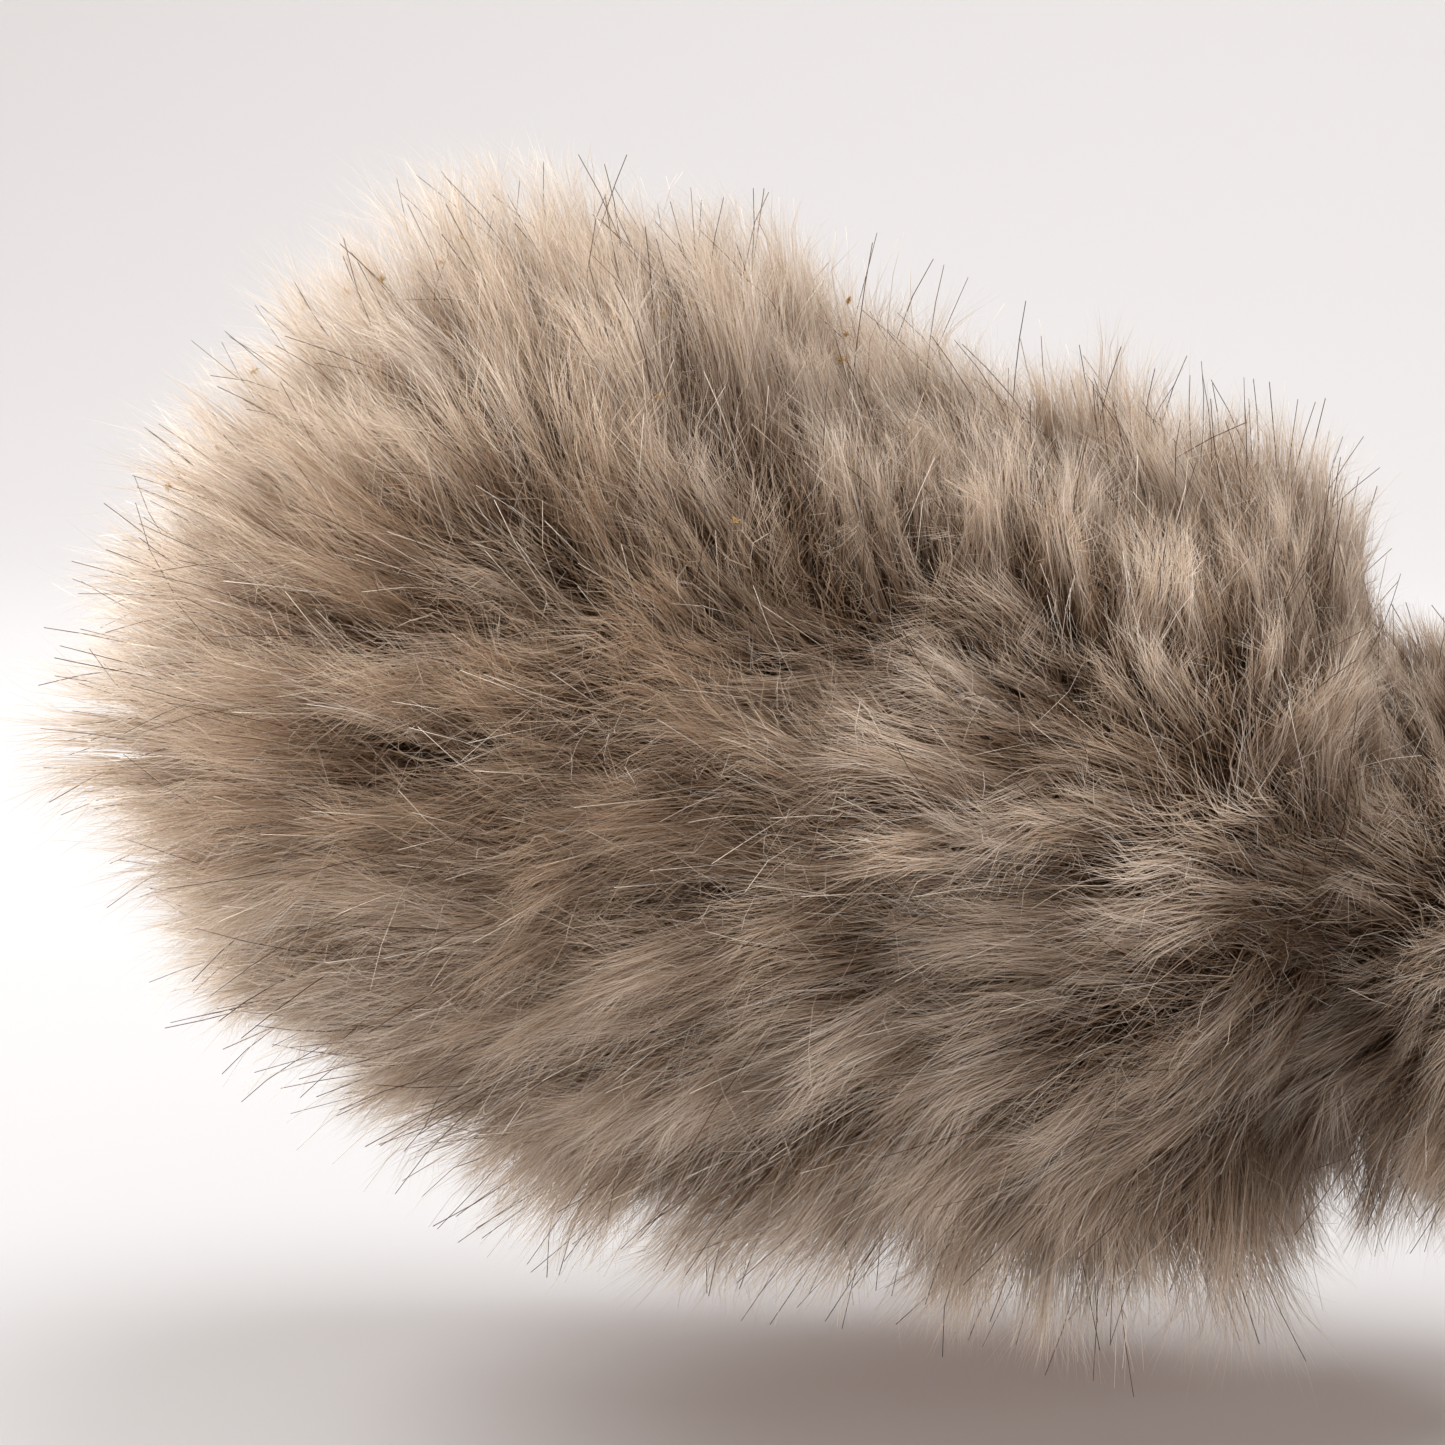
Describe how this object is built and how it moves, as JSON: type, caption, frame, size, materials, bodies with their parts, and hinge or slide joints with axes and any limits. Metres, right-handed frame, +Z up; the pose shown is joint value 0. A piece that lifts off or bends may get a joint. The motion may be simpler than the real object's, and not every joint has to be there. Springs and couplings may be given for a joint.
{
  "type": "furry microphone windscreen",
  "caption": "Egg-shaped microphone windscreen: a long-pile fur cover over a lattice basket, drawn in at the neck, with a rubber microphone grip and a clamp nut.",
  "frame": {"origin": "middle of the microphone grip's bore, on the microphone's axis", "axes": "+X along the microphone's axis, the way the microphone leaves; the nose points to -X; +Z up"},
  "size_m": [0.1828, 0.1174, 0.1174],
  "materials": {
    "fur_fabric": "long-pile modacrylic fur, taupe, on a knitted backing",
    "hem_tape": "black woven tape",
    "hem_elastic": "woven elastic",
    "basket_plastic": "black moulded nylon",
    "mesh_lining": "fine black acoustic mesh",
    "gasket_foam": "closed-cell gasket",
    "collar_plastic": "black moulded acetal, fine spark texture",
    "grip_rubber": "soft black rubber",
    "washer_plastic": "natural acetal",
    "nut_metal": "black anodised, knurled",
    "screw_steel": "zinc plated"
  },
  "bodies": {
    "windscreen": {"gore_top_left": "fur_fabric", "gore_bottom_left": "fur_fabric", "gore_bottom_right": "fur_fabric", "gore_top_right": "fur_fabric", "nose_patch": "fur_fabric", "neck_frill": "fur_fabric", "hem_binding": "hem_tape", "hem_channel": "hem_tape", "seam_tapes": "hem_tape", "hem_elastic": "hem_elastic", "front_basket": "basket_plastic", "rear_basket": "basket_plastic", "front_ring": "basket_plastic", "rear_ring": "basket_plastic", "front_mesh": "mesh_lining", "rear_mesh": "mesh_lining", "ring_gasket": "gasket_foam", "collar_gasket": "gasket_foam", "collar": "collar_plastic", "mic_grip": "grip_rubber", "collar_screws": "screw_steel"},
    "washer": {"thrust_washer": "washer_plastic"},
    "nut": {"clamp_nut": "nut_metal"}
  },
  "joints": [
    {"name": "washer_travel", "type": "slide", "parent": "windscreen", "child": "washer", "axis": [-1, 0, 0], "range_m": [0, 0.001]},
    {"name": "nut_turn", "type": "hinge", "parent": "washer", "child": "nut", "pos_m": [0, 0, 0], "axis": [-1, 0, 0], "range_deg": [0, 180]}
  ],
  "couplings": [
    {"joint": "washer_travel", "follows": "nut_turn", "m_per_rad": 0.0003183}
  ]
}
